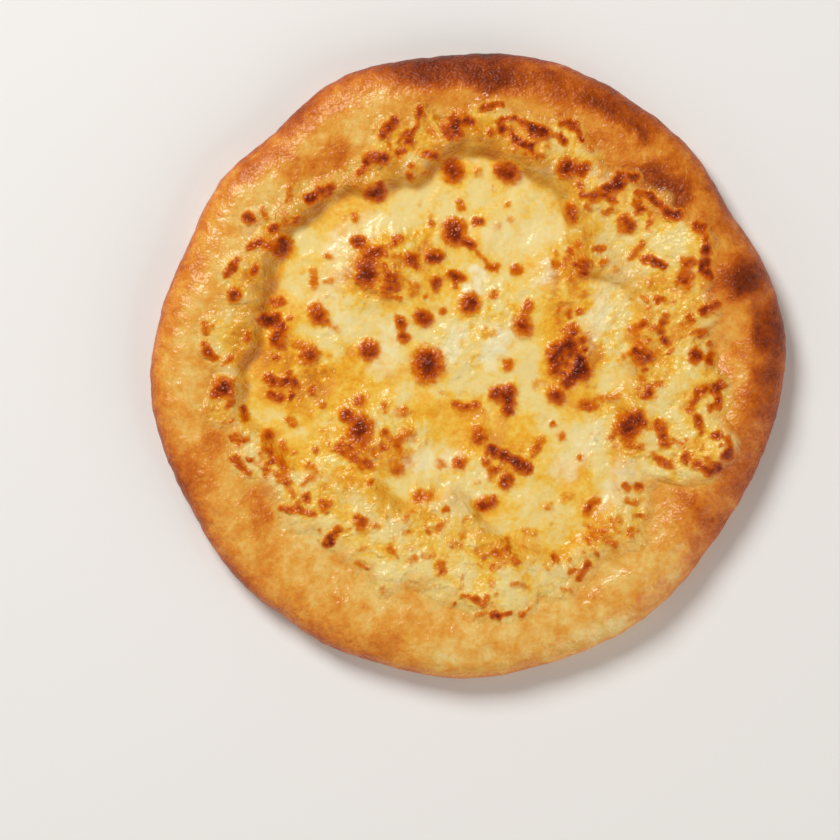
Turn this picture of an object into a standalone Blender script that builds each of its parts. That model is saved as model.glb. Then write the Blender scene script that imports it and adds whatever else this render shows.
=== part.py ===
"""Megrelian khachapuri: a round cheese bread 280 mm across, with browned melted cheese over its middle.

Lengths are in millimetres until MM turns them into metres. +Z is up, and the origin is on the
bread's flat foot, under the middle of its outline. Angles are in degrees, anticlockwise from +X.
"""

import math

import bmesh
import bpy
from mathutils import Vector, noise

MM = 0.001

# The bread's driving dimensions.
BREAD_RADIUS = 137.0      # mean radius of the outline
SHELF_HEIGHT = 19.0       # the broad ring between the rim and the sunken middle
BASIN_DEPTH = 5.5         # how far the middle has sunk below the ring
BASIN_SLOPE = 13.0        # width of the step down into it
ROLL = 15.0               # how far in from the outline the rim stops rounding over
ROLL_FULLNESS = 2.4       # 2 rounds it as an ellipse, more makes it squarer
WAIST_HEIGHT = 8.5        # height of the widest point
FOOT_INSET = 9.0          # how far inside the outline the flat foot ends
RIM_CREST_INSET = 17.0    # the rim's crest, measured in from the outline
RIM_WIDTH = 10.5          # half width of the raised rim

# The melted cheese.
CHEESE_RADIUS = 110.0     # mean radius of its ragged edge
EDGE_THICKNESS = 1.3
SHELF_THICKNESS = 1.7
POOL_THICKNESS = 3.6      # where it has run together in the middle
EDGE_TAPER = 9.0          # how far in from its edge it reaches its full thickness
EDGE_BEVEL = 0.7          # how far the top of its edge leans in
SEAT_GAP = 0.3            # clearance between cheese and bread
TONGUE_REACH = 3.0        # the small tongues of its edge reach this far in and out
TONGUE_CROWDING = 4.5     # and this sets how many there are

# Lobes are (middle of the lobe, its half width in degrees, its height in millimetres).
OUTLINE_LOBES = [
    (5, 14, 3.4), (31, 8, -2.8), (75, 15, 2.2), (112, 9, 2.4), (131, 8, -3.2), (157, 9, -2.2),
    (186, 15, 3.8), (222, 10, 1.8), (242, 7, 1.2), (268, 8, 1.2), (290, 10, -1.2), (326, 19, -3.8),
]
CHEESE_EDGE_LOBES = [
    (5, 12, -2), (34, 12, 3), (49, 6, -4), (68, 12, 5), (92, 16, 5), (128, 12, -3), (168, 26, 8),
    (202, 8, 3), (228, 16, -8), (255, 12, -6), (277, 10, 3), (302, 9, -3), (326, 9, -11), (345, 9, 8),
]
BASIN_EDGE_LOBES = [
    (0, 24, -16), (42, 16, -22), (88, 14, 5), (108, 8, -7), (145, 22, 8), (190, 16, 12), (233, 18, -22),
    (264, 16, -33), (300, 12, 4), (335, 16, -12),
]
BASIN_RADIUS = 89.0
RIM_LIFT = 2.2
RIM_LIFT_LOBES = [(8, 26, 3.2), (52, 14, 1.2), (95, 14, 1.5), (140, 20, -0.8), (200, 30, 0.4), (318, 22, 0.9)]

# Swellings and hollows of the bread: (x, y, radius, height).
SWELLINGS = [
    (-34, 41, 21, 5.0), (-42, -34, 19, 2.8), (-82, 6, 17, 1.6), (40, 38, 17, 2.6), (8, 60, 10, 1.6),
    (66, 46, 14, -3.6), (94, 52, 14, 2.8), (103, 28, 12, 1.8), (96, -12, 15, 3.2), (100, -38, 13, 2.8),
    (111, 6, 9, -2.6), (111, -14, 9, -2.4), (78, 10, 13, 1.6), (58, 84, 12, 2.2), (28, 99, 15, 1.6),
    (-8, 101, 12, 1.4), (-38, 98, 14, 1.3), (-98, 42, 17, 1.2), (-66, -60, 18, 1.6), (-26, -82, 22, 2.6),
    (14, -92, 18, 2.4), (62, -74, 13, 1.8), (44, -78, 7, -1.6), (122, 38, 12, 1.8), (128, -20, 14, 0.8),
    (0, -18, 22, -0.8), (20, 20, 14, 1.2), (44, -2, 11, 1.4),
]

# The larger scorched blisters of the cheese: (x, y, radius).
BLISTERS = [
    (-18, 0, 8), (-44, 5, 6.5), (-67, 22, 5), (17, -14, 7.5), (43, 3, 10), (25, 19, 7), (71, -26, 8),
    (-46, -28, 7), (20, -42, 8), (-46, 44, 7.5), (-6, 58, 6.5), (0, 26, 6), (-82, 52, 6), (77, 3, 6),
    (-7, 86, 6), (17, 85, 6), (-20, 21, 6), (9, -61, 5.5), (16, -84, 6), (84, -30, 5.5), (-108, -10, 5),
]
BLISTER_HEIGHT = 1.3
BLISTER_STEEPNESS = 1.35  # over 1 gives a blister a level top

# Slow unevenness of the dough and of the cheese: (period, height).
DOUGH_WAVES = [(46.0, 0.9), (19.0, 0.45)]
CHEESE_WAVES = [(9.0, 0.35)]
DOUGH_SEED, TONGUE_SEED, CHEESE_SEED = 3.0, 7.0, 11.0

# How finely the surfaces are divided.
CHEESE_RINGS = 24
SEAT_RINGS = 12
CRUST_RINGS = 5
ROLL_RINGS = 6
UNDER_RINGS = 3
SPOKES = 8 * CHEESE_RINGS
FOOT_RINGS = [(0.62, 64), (0.16, 16)]     # (share of the foot's radius, points) of the rings under it


def smooth(share):
    """0 to 1 with level ends."""
    share = min(1.0, max(0.0, share))
    return share * share * (3.0 - 2.0 * share)


def lobed(angle, mean, lobes):
    """A closed wavy line's radius or height at an angle: the mean and the lobes that reach there."""
    value = mean
    for middle, width, height in lobes:
        away = (angle - middle + 180.0) % 360.0 - 180.0
        value += height * math.exp(-((away / width) ** 2))
    return value


def outline(angle):
    return lobed(angle, BREAD_RADIUS, OUTLINE_LOBES)


def cheese_edge(angle):
    """The cheese's ragged edge: its lobes, and small tongues round it."""
    radians = math.radians(angle)
    around = TONGUE_CROWDING * Vector((math.cos(radians), math.sin(radians), TONGUE_SEED))
    return lobed(angle, CHEESE_RADIUS, CHEESE_EDGE_LOBES) + TONGUE_REACH * noise.noise(around)


def basin_share(angle, radius):
    """1 in the sunken middle and 0 on the ring round it."""
    edge = lobed(angle, BASIN_RADIUS, BASIN_EDGE_LOBES)
    return smooth((edge - radius) / BASIN_SLOPE + 0.5)


def waves(x, y, layers, seed):
    return sum(height * noise.noise(Vector((x / period, y / period, seed))) for period, height in layers)


def swelling(x, y):
    return sum(
        height * math.exp(-((x - at_x) ** 2 + (y - at_y) ** 2) / radius**2)
        for at_x, at_y, radius, height in SWELLINGS
    )


def bread_top(x, y):
    """Height of the bread's upper side."""
    angle = math.degrees(math.atan2(y, x))
    radius = math.hypot(x, y)
    inset = outline(angle) - radius
    rim = lobed(angle, RIM_LIFT, RIM_LIFT_LOBES) * math.exp(-(((inset - RIM_CREST_INSET) / RIM_WIDTH) ** 2))
    height = SHELF_HEIGHT + rim + swelling(x, y) + waves(x, y, DOUGH_WAVES, DOUGH_SEED)
    height -= BASIN_DEPTH * basin_share(angle, radius)
    if inset < ROLL:
        fall = 1.0 - max(0.0, inset) / ROLL
        height = WAIST_HEIGHT + (height - WAIST_HEIGHT) * math.sqrt(1.0 - fall**ROLL_FULLNESS)
    return height


def blister(x, y):
    """A blister is a low round dome on the cheese."""
    return max(
        BLISTER_HEIGHT * smooth(BLISTER_STEEPNESS * (1.0 - math.hypot(x - at_x, y - at_y) / radius))
        for at_x, at_y, radius in BLISTERS
    )


def cheese_top(x, y):
    """Height of the cheese's upper side: thick in the pools, thin on the ring and at its edge."""
    angle = math.degrees(math.atan2(y, x))
    radius = math.hypot(x, y)
    pool = basin_share(angle, radius)
    thickness = SHELF_THICKNESS + (POOL_THICKNESS - SHELF_THICKNESS) * pool
    thickness -= (thickness - EDGE_THICKNESS) * (1.0 - smooth((cheese_edge(angle) - radius) / EDGE_TAPER))
    top = bread_top(x, y) + SEAT_GAP + thickness
    return top + blister(x, y) + waves(x, y, CHEESE_WAVES, CHEESE_SEED)


def ring(count, radius_at, height_at):
    """A closed ring of points, each at its own radius and height."""
    points = []
    for step in range(count):
        angle = 360.0 * step / count
        radius = radius_at(angle)
        x = radius * math.cos(math.radians(angle))
        y = radius * math.sin(math.radians(angle))
        points.append((x, y, height_at(x, y)))
    return points


def seat_rings(lift):
    """The rings of the bread's top under the cheese, from the middle out. The cheese's underside is the
    same surface, lifted by the gap, so the two never touch."""
    rings = [[(0.0, 0.0, bread_top(0.0, 0.0) + lift)]]
    for step in range(1, SEAT_RINGS + 1):
        share = step / SEAT_RINGS
        count = SPOKES if step == SEAT_RINGS else 8 * step
        rings.append(ring(count, lambda a, s=share: s * cheese_edge(a), lambda x, y: bread_top(x, y) + lift))
    return rings


def crust_rings():
    """The bare crust from the cheese's edge to the start of the rounded rim."""
    def radius_at(angle, share):
        return cheese_edge(angle) + share * (outline(angle) - ROLL - cheese_edge(angle))

    shares = [step / CRUST_RINGS for step in range(1, CRUST_RINGS + 1)]
    return [ring(SPOKES, lambda a, s=share: radius_at(a, s), bread_top) for share in shares]


def roll_rings():
    """The rim, rounding over from its top to its widest point."""
    rings = []
    for step in range(1, ROLL_RINGS + 1):
        inset = ROLL * (1.0 - math.sin(0.5 * math.pi * step / ROLL_RINGS))
        rings.append(ring(SPOKES, lambda a, i=inset: outline(a) - i, bread_top))
    return rings


def under_rings():
    """The side, tucking in from the widest point to the edge of the flat foot."""
    rings = []
    for step in range(1, UNDER_RINGS + 1):
        turn = 0.5 * math.pi * step / UNDER_RINGS
        inset = FOOT_INSET * (1.0 - math.cos(turn))
        height = WAIST_HEIGHT * (1.0 - math.sin(turn))
        rings.append(ring(SPOKES, lambda a, i=inset: outline(a) - i, lambda x, y, h=height: h))
    return rings


def foot_rings():
    """The flat foot, with fewer points towards its middle."""
    return [
        ring(count, lambda a, s=share: s * (outline(a) - FOOT_INSET), lambda x, y: 0.0)
        for share, count in FOOT_RINGS
    ]


def cheese_rings():
    """The cheese's top from the middle out, and its slanting edge."""
    rings = [[(0.0, 0.0, cheese_top(0.0, 0.0))]]
    for step in range(1, CHEESE_RINGS + 1):
        share = step / CHEESE_RINGS
        rings.append(ring(8 * step, lambda a, s=share: s * (cheese_edge(a) - EDGE_BEVEL), cheese_top))
    return rings


def stitch(mesh, inner, outer):
    """Joins two rings with triangles, stepping along whichever lags behind. The inner one has no more
    points than the outer, and may be a single point."""
    a, b = len(inner), len(outer)
    i = j = 0
    while i < (a if a > 1 else 0) or j < b:
        inner_next = (i + 1) / a if a > 1 and i < a else math.inf
        outer_next = (j + 1) / b if j < b else math.inf
        if outer_next <= inner_next:
            mesh.faces.new((inner[i % a], outer[j % b], outer[(j + 1) % b]))
            j += 1
        else:
            mesh.faces.new((inner[i % a], outer[j % b], inner[(i + 1) % a]))
            i += 1


def centre_of_outline():
    """The middle of the outline's box, which the origin is put under."""
    points = ring(SPOKES, outline, lambda x, y: 0.0)
    xs = [point[0] for point in points]
    ys = [point[1] for point in points]
    return (min(xs) + max(xs)) / 2, (min(ys) + max(ys)) / 2


def skin(name, rings, material):
    """One closed solid from rings that run from the middle of its top, over its edge, to the middle below."""
    middle_x, middle_y = centre_of_outline()
    data = bpy.data.meshes.new(name)
    mesh = bmesh.new()
    rows = [
        [mesh.verts.new(((x - middle_x) * MM, (y - middle_y) * MM, z * MM)) for x, y, z in points]
        for points in rings
    ]
    for first, second in zip(rows, rows[1:]):
        stitch(mesh, *sorted((first, second), key=len))
    if len(rows[-1]) > 1:
        mesh.faces.new(rows[-1])
    bmesh.ops.recalc_face_normals(mesh, faces=mesh.faces)
    mesh.to_mesh(data)
    mesh.free()
    data.shade_smooth()
    data.materials.append(material)
    piece = bpy.data.objects.new(name, data)
    bpy.context.collection.objects.link(piece)
    return piece


def food_material(name, colour, roughness):
    material = bpy.data.materials.new(name)
    material.use_nodes = True
    surface = material.node_tree.nodes["Principled BSDF"]
    surface.inputs["Base Color"].default_value = (*colour, 1.0)
    surface.inputs["Roughness"].default_value = roughness
    surface.inputs["Metallic"].default_value = 0.0
    return material


def make_bread():
    """The baked dough: sunken middle under the cheese, ring, rolled rim, side and flat foot."""
    crust = food_material("baked_crust", (0.70, 0.33, 0.09), 0.5)
    rings = seat_rings(0.0) + crust_rings() + roll_rings() + under_rings() + foot_rings()
    return skin("bread", rings, crust)


def make_cheese():
    """The melted cheese: its top, its edge, and its underside on the bread."""
    cheese = food_material("melted_cheese", (0.86, 0.62, 0.22), 0.35)
    underside = list(reversed(seat_rings(SEAT_GAP)))
    return skin("melted_cheese", cheese_rings() + underside, cheese)


for leftover in list(bpy.data.objects):
    bpy.data.objects.remove(leftover)
make_bread()
make_cheese()
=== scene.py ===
import math

import bpy
import numpy as np
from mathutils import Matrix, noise


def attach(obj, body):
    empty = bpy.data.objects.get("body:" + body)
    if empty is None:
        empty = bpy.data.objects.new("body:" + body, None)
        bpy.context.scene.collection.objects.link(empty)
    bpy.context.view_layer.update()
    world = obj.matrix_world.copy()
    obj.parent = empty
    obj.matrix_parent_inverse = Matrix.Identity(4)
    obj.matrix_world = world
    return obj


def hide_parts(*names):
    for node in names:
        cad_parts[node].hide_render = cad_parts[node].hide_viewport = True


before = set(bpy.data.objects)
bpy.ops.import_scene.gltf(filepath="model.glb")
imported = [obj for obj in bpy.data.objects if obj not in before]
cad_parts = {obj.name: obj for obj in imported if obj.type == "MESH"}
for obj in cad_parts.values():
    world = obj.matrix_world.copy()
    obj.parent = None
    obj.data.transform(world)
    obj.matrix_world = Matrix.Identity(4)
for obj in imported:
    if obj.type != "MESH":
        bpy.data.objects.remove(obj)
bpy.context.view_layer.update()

# --------------------------------------
# The bread: a yeast dough rolled out round and baked on a hot stone until its rim swells and browns.
# Its middle has sunk under the melted cheese, and its side tucks in to a flat foot. The crust is
# golden on one side, deep brown on the other, and has a faint gloss from the fat brushed on it.
# --------------------------------------

MM = 0.001                # lengths below are in millimetres, angles in degrees anticlockwise from +X
BREAD_RADIUS = 137.0      # mean radius of the outline
SHELF_HEIGHT = 19.0       # the broad ring between the rim and the sunken middle
BASIN_DEPTH = 5.5         # how far the middle has sunk below the ring
BASIN_RADIUS = 89.0
BASIN_SLOPE = 10.0        # width of the step down into it, sharper at the upper left
BASIN_SLOPE_LOBES = [(150, 45, -2.5), (92, 24, -2.5), (40, 12, -2.0), (205, 20, -2.0)]
BASIN_RAGGEDNESS = 4.0    # how unevenly its edge runs
ROLL = 14.0               # how far in from the outline the rim stops rounding over
ROLL_FULLNESS = 3.2       # 2 rounds it as an ellipse, more makes it squarer
WAIST_HEIGHT = 8.5        # height of the widest point
FOOT_INSET = 9.0          # how far inside the outline the flat foot ends
RIM_CREST_INSET = 17.0
RIM_WIDTH = 10.5
RIM_LIFT = 2.2
SEAT_RADIUS = 104.0       # on the plain loaf, where the crust comes out from under the cheese
CHEESE_LAP = 7.0          # how far the finely divided crust reaches in under the cheese
SEAT_DROP = 2.6           # and how much deeper than the real dough it lies further in, out of sight
SPOKES = 1152
CRUST_STEPS = 29
ROLL_STEPS = 22
TUCK_STEPS = 12
SEAT_STEPS = (1.0, 0.9, 0.75, 0.55, 0.35, 0.15)              # rings out of sight, as shares of a radius
FOOT_STEPS = (0.97, 0.9, 0.78, 0.62, 0.45, 0.25, 0.0)
NEARLY = 0.01             # lengths closer than this count as the same

# Lobes are (middle of the lobe, its half width in degrees, its height in millimetres).
OUTLINE_LOBES = [
    (5, 14, 3.4), (31, 8, -2.8), (75, 15, 2.2), (112, 9, 2.4), (131, 8, -3.2), (157, 9, -2.2),
    (186, 15, 3.8), (222, 10, 1.8), (242, 7, 1.2), (268, 8, 1.2), (290, 10, -1.2), (326, 19, -3.8),
]
BASIN_EDGE_LOBES = [
    (0, 24, -16), (42, 16, -22), (88, 14, 5), (108, 8, -7), (145, 22, 8), (190, 16, 12),
    (233, 18, -22), (264, 16, -33), (300, 12, 4), (335, 16, -12),
]
RIM_LIFT_LOBES = [
    (8, 26, 3.2), (52, 14, 1.2), (95, 14, 1.5), (140, 20, -0.8), (200, 30, 0.4), (318, 22, 0.9),
]
CHEESE_EDGE_LOBES = [
    (5, 12, -2), (34, 12, 3), (49, 6, -4), (68, 12, 5), (92, 16, 5), (128, 12, -3), (168, 26, 8),
    (202, 8, 3), (228, 16, -8), (255, 12, -6), (277, 10, 3), (302, 9, -3), (326, 9, -11), (345, 9, 8),
]
CHEESE_RADIUS = 110.0     # mean radius of the cheese's ragged edge
TONGUE_REACH = 3.0
TONGUE_CROWDING = 4.5
TONGUE_SEED = 31.5
BASIN_PERIOD = 0.14       # for a circle of radius 1
BASIN_SEED = 35.0

# Unevenness in layers of (period, height, seed).
DOUGH_WAVES = [(46.0, 0.9, 3.0), (19.0, 0.45, 3.0)]
SKIN_DIMPLES = [(11.0, 0.5, 21.0), (5.0, 0.3, 22.0)]
SKIN_BLISTERS = [(2.6, 0.16, 23.0)]

# Swellings and hollows: (x, y, radius, height).
SWELLINGS = [
    (-34, 41, 21, 5.0), (-42, -34, 19, 2.8), (-82, 6, 17, 1.6), (40, 38, 17, 2.6), (8, 60, 10, 1.6),
    (66, 46, 14, -3.6), (94, 52, 14, 2.8), (103, 28, 12, 1.8), (96, -12, 15, 3.2),
    (100, -38, 13, 2.8), (111, 6, 9, -2.6), (111, -14, 9, -2.4), (78, 10, 13, 1.6),
    (58, 84, 12, 2.2), (28, 99, 15, 1.6), (-8, 101, 12, 1.4), (-38, 98, 14, 1.3),
    (-98, 42, 17, 1.2), (-66, -60, 18, 1.6), (-26, -82, 22, 2.6), (14, -92, 18, 2.4),
    (62, -74, 13, 1.8), (44, -78, 7, -1.6), (122, 38, 12, 1.8), (128, -20, 14, 0.8),
    (0, -18, 22, -0.8), (20, 20, 14, 1.2), (44, -2, 11, 1.4),
]

# Folds pressed in when the rim was rolled: (x, y, half its run in x and in y, half width, depth).
FOLDS = [
    (-4, 129.5, 15, -0.5, 2.2, 0.9), (20, 122, 14, -2.5, 3.0, 0.35), (-62, 112, 14, 7.0, 2.2, 0.3),
    (70, 109, 12, -7.0, 2.6, 0.4), (88, 80, 8, -6.0, 3.0, 0.4), (129, 24, 2, 8.0, 2.0, 0.35),
    (133, -4, 1, 9.0, 1.8, 0.4), (-112, 66, 6, 10.0, 2.4, 0.25), (-60, -108, 12, -6.0, 3.0, 0.25),
]


def smooth(share):
    """0 to 1 with level ends."""
    share = np.clip(share, 0.0, 1.0)
    return share * share * (3.0 - 2.0 * share)


def lobed(angle, mean, lobes):
    """A closed wavy line's radius or height at each angle: the mean and the lobes that reach there."""
    value = np.full_like(angle, mean)
    for middle, width, height in lobes:
        away = (angle - middle + 180.0) % 360.0 - 180.0
        value += height * np.exp(-((away / width) ** 2))
    return value


def wave(x, y, period, seed):
    """A smooth uneven surface between about -1 and 1, its bumps a period apart."""
    places = zip((x / period).tolist(), (y / period).tolist())
    return np.array([noise.noise((along, across, seed)) for along, across in places])


def waves(x, y, layers):
    """Layers of such unevenness, added up."""
    return sum(rise * wave(x, y, period, seed) for period, rise, seed in layers)


def polar(x, y):
    """The angle and radius of each point."""
    return np.degrees(np.arctan2(y, x)), np.hypot(x, y)


def from_polar(angle, radius):
    """The x and y of each point, from its angle and radius."""
    turn = np.radians(angle)
    return radius * np.cos(turn), radius * np.sin(turn)


def outline(angle):
    """The radius of the bread's outline."""
    return lobed(angle, BREAD_RADIUS, OUTLINE_LOBES)


def cheese_edge(angle):
    """The cheese's ragged edge: its lobes, and small tongues round it."""
    tongues = wave(*from_polar(angle, 1.0), 1.0 / TONGUE_CROWDING, TONGUE_SEED)
    return lobed(angle, CHEESE_RADIUS, CHEESE_EDGE_LOBES) + TONGUE_REACH * tongues


def basin_edge(angle):
    """The edge of the sunken middle."""
    ragged_run = BASIN_RAGGEDNESS * wave(*from_polar(angle, 1.0), BASIN_PERIOD, BASIN_SEED)
    return lobed(angle, BASIN_RADIUS, BASIN_EDGE_LOBES) + ragged_run


def basin_share(angle, radius):
    """1 in the sunken middle and 0 on the ring round it."""
    return smooth((basin_edge(angle) - radius) / lobed(angle, BASIN_SLOPE, BASIN_SLOPE_LOBES) + 0.5)


def distance(x, y, at_x, at_y, reach_x, reach_y):
    """How far each point is from a short line, given by its middle and half its run in x and in y."""
    length = max(reach_x**2 + reach_y**2, 1e-6)
    along = np.clip(((x - at_x) * reach_x + (y - at_y) * reach_y) / length, -1.0, 1.0)
    return np.hypot(x - at_x - along * reach_x, y - at_y - along * reach_y)


def bread_top(x, y):
    """Height of the bread's upper side."""
    angle, radius = polar(x, y)
    inset = outline(angle) - radius
    rim = lobed(angle, RIM_LIFT, RIM_LIFT_LOBES) * np.exp(-(((inset - RIM_CREST_INSET) / RIM_WIDTH) ** 2))
    height = SHELF_HEIGHT + rim - BASIN_DEPTH * basin_share(angle, radius)
    height += waves(x, y, DOUGH_WAVES)
    for at_x, at_y, reach, rise in SWELLINGS:
        height += rise * np.exp(-((x - at_x) ** 2 + (y - at_y) ** 2) / reach**2)
    for *line, width, depth in FOLDS:
        height -= depth * np.exp(-((distance(x, y, *line) / width) ** 2))
    fall = 1.0 - np.clip(inset, 0.0, ROLL) / ROLL
    return WAIST_HEIGHT + (height - WAIST_HEIGHT) * np.sqrt(1.0 - fall**ROLL_FULLNESS)


def middle_of_outline():
    """The middle of the outline's box, which the origin is under."""
    angle = np.arange(0.0, 360.0)
    x, y = from_polar(angle, outline(angle))
    return (x.min() + x.max()) / 2, (y.min() + y.max()) / 2


def points_of(piece):
    """A piece's points as columns of x, y and z in millimetres."""
    places = np.empty(3 * len(piece.data.vertices))
    piece.data.vertices.foreach_get("co", places)
    return places.reshape(-1, 3).T / MM


def set_points(piece, x, y, z):
    """Moves a piece's points to these places in millimetres."""
    piece.data.vertices.foreach_set("co", (np.stack([x, y, z], axis=1) * MM).ravel())
    piece.data.update()


def lay(piece, x, y, z):
    """Moves a piece's points to these places, with x and y given from the middle of the dough."""
    middle_x, middle_y = middle_of_outline()
    set_points(piece, x - middle_x, y - middle_y, z)


def swell(piece, amount):
    """Moves every point along its normal by its own amount."""
    normals = np.empty(3 * len(piece.data.vertices))
    piece.data.vertex_normals.foreach_get("vector", normals)
    x, y, z = points_of(piece)
    along_x, along_y, along_z = normals.reshape(-1, 3).T * amount
    set_points(piece, x + along_x, y + along_y, z + along_z)


def paint(piece, name, values):
    """Stores a value for each point, for the material to read."""
    layer = piece.data.attributes.new(name, "FLOAT", "POINT")
    layer.data.foreach_set("value", values)


def seat_drop(seat, radius):
    """How far under the dough's own surface the hidden seat of the cheese lies."""
    return SEAT_DROP * smooth((seat - radius) / 8.0)


def dimples(x, y, z):
    """Soft dimples and fine blisters of the baked skin."""
    return waves(x, y, SKIN_DIMPLES) + waves(x + z, y - z, SKIN_BLISTERS)


def loaf_section():
    """Half of the plain loaf's section, (radius, height) from the middle of its top to that of its foot."""
    section = [(share * SEAT_RADIUS, SHELF_HEIGHT) for share in (0.0, *reversed(SEAT_STEPS))]
    crust_width = BREAD_RADIUS - ROLL - SEAT_RADIUS
    for step in range(1, CRUST_STEPS + 1):
        section.append((SEAT_RADIUS + crust_width * step / CRUST_STEPS, SHELF_HEIGHT))
    for step in range(1, ROLL_STEPS + 1):
        fall = math.sin(0.5 * math.pi * step / ROLL_STEPS)
        rise = math.sqrt(max(0.0, 1.0 - fall**ROLL_FULLNESS))
        height = WAIST_HEIGHT + (SHELF_HEIGHT - WAIST_HEIGHT) * rise
        section.append((BREAD_RADIUS - ROLL * (1.0 - fall), height))
    for step in range(1, TUCK_STEPS + 1):
        turn = 0.5 * math.pi * step / TUCK_STEPS
        height = WAIST_HEIGHT * (1.0 - math.sin(turn))
        section.append((BREAD_RADIUS - FOOT_INSET * (1.0 - math.cos(turn)), height))
    section += [(share * (BREAD_RADIUS - FOOT_INSET), 0.0) for share in FOOT_STEPS]
    return section


bpy.ops.object.select_all(action="DESELECT")
section = loaf_section()
bpy.ops.mesh.primitive_plane_add(size=MM, location=(0.0, 0.0, section[0][1] * MM))
bread = bpy.context.object
bread.name = bread.data.name = "baked_bread"
bpy.ops.object.transform_apply(location=True)
bpy.ops.object.mode_set(mode="EDIT")
bpy.ops.mesh.select_all(action="SELECT")
bpy.ops.mesh.merge(type="CENTER")
for (radius, height), (next_radius, next_height) in zip(section, section[1:]):
    move = ((next_radius - radius) * MM, 0.0, (next_height - height) * MM)
    bpy.ops.mesh.extrude_vertices_move(TRANSFORM_OT_translate={"value": move})
bpy.ops.object.mode_set(mode="OBJECT")
turned = bread.modifiers.new("turned", "SCREW")
turned.steps = turned.render_steps = SPOKES
turned.use_merge_vertices = True
turned.merge_threshold = 0.001 * MM
bpy.ops.object.modifier_apply(modifier=turned.name)
bpy.ops.object.mode_set(mode="EDIT")
bpy.ops.mesh.select_all(action="SELECT")
bpy.ops.mesh.remove_doubles(threshold=0.001 * MM)
bpy.ops.mesh.normals_make_consistent(inside=False)
bpy.ops.object.mode_set(mode="OBJECT")
bread.data.shade_smooth()

# The plain loaf is pressed into its uneven shape: outline, rim, ring, sunken middle and folds.
plain_x, plain_y, plain_z = points_of(bread)
angle, plain_radius = polar(plain_x, plain_y)
upper = plain_z > WAIST_HEIGHT - NEARLY
edge = outline(angle)
seat = cheese_edge(angle) - CHEESE_LAP
plain_roll = BREAD_RADIUS - ROLL
over_crust = (plain_radius - SEAT_RADIUS) / (plain_roll - SEAT_RADIUS)
on_roll = edge - BREAD_RADIUS + plain_radius
on_foot = plain_radius / plain_roll * (edge - ROLL)
on_seat = plain_radius / SEAT_RADIUS * seat
radius = np.select(
    [plain_radius >= plain_roll, ~upper, plain_radius <= SEAT_RADIUS],
    [on_roll, on_foot, on_seat],
    seat + over_crust * (edge - ROLL - seat),
)
x, y = from_polar(angle, radius)
lay(bread, x, y, np.where(upper, bread_top(x, y) - seat_drop(seat, radius), plain_z))

# The baked skin, which is smooth under the cheese and on the flat foot.
inset = edge - radius
bare = smooth((radius - seat) / 3.0) * smooth(plain_z / 2.0)
swell(bread, np.where(radius > seat, bare * dimples(x, y, np.where(upper, 0.0, plain_z)), 0.0))

# Browning of the crust, 0 for raw dough and 1 for burnt: round the rim, and by scorched patches
# (x, y, half its run in x and in y, radius, browning).
RIM_BROWNING = 0.37
RIM_BROWNING_LOBES = [
    (8, 22, -0.02), (60, 18, -0.02), (33, 8, 0.03), (345, 16, 0.03), (92, 15, 0.37), (150, 25, -0.1),
    (182, 14, -0.05), (272, 24, -0.19), (124, 10, 0.08), (306, 20, -0.31), (34, 12, 0.06),
]
RING_BROWNING = 0.24
RING_BROWNING_LOBES = [
    (26, 22, 0.16), (85, 26, 0.1), (345, 16, 0.02), (152, 34, -0.05), (225, 20, -0.04), (272, 26, -0.07),
]
EDGE_BROWNING = 0.3       # added at the very edge, falling off within EDGE_BROWNING_REACH
EDGE_BROWNING_REACH = 3.0
RIM_BROWNING_WIDTH = 19.0
RIM_RAGGEDNESS = [(24.0, 8.0, 31.0)]
BROWNING_CLOUDS = [(17.0, 0.09, 32.0), (6.0, 0.07, 33.0)]
PATCH_BASE = 0.42         # a patch no browner than this doesn't show
PATCH_BROWNING = 0.86     # and the brownest are this brown
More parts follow.
